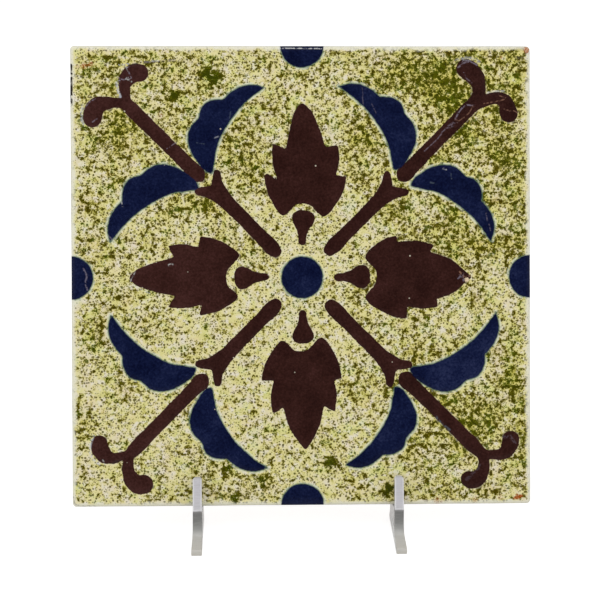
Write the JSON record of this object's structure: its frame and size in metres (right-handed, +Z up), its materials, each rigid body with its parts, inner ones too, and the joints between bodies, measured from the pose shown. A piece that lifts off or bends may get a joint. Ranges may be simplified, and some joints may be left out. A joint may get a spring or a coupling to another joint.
{
  "type": "glazed ceramic wall tile in a clear display easel",
  "caption": "Square glazed wall tile with a raised brown and blue leaf pattern on speckled cream, leaning back in a clear acrylic easel.",
  "frame": {"origin": "on the table, at the middle of the object's width and depth", "axes": "+Z up; the tile's face looks towards -Y and leans back 15 degrees; +X to the right as seen from the front"},
  "size_m": [0.1532, 0.089, 0.1581],
  "materials": {
    "glaze": "glossy speckled glaze",
    "acrylic": "clear, polished faces and sanded edges"
  },
  "bodies": {
    "root": {"tile": "glaze", "left_side_plate": "acrylic", "right_side_plate": "acrylic", "upper_rod": "acrylic", "lower_rod": "acrylic"}
  },
  "joints": []
}
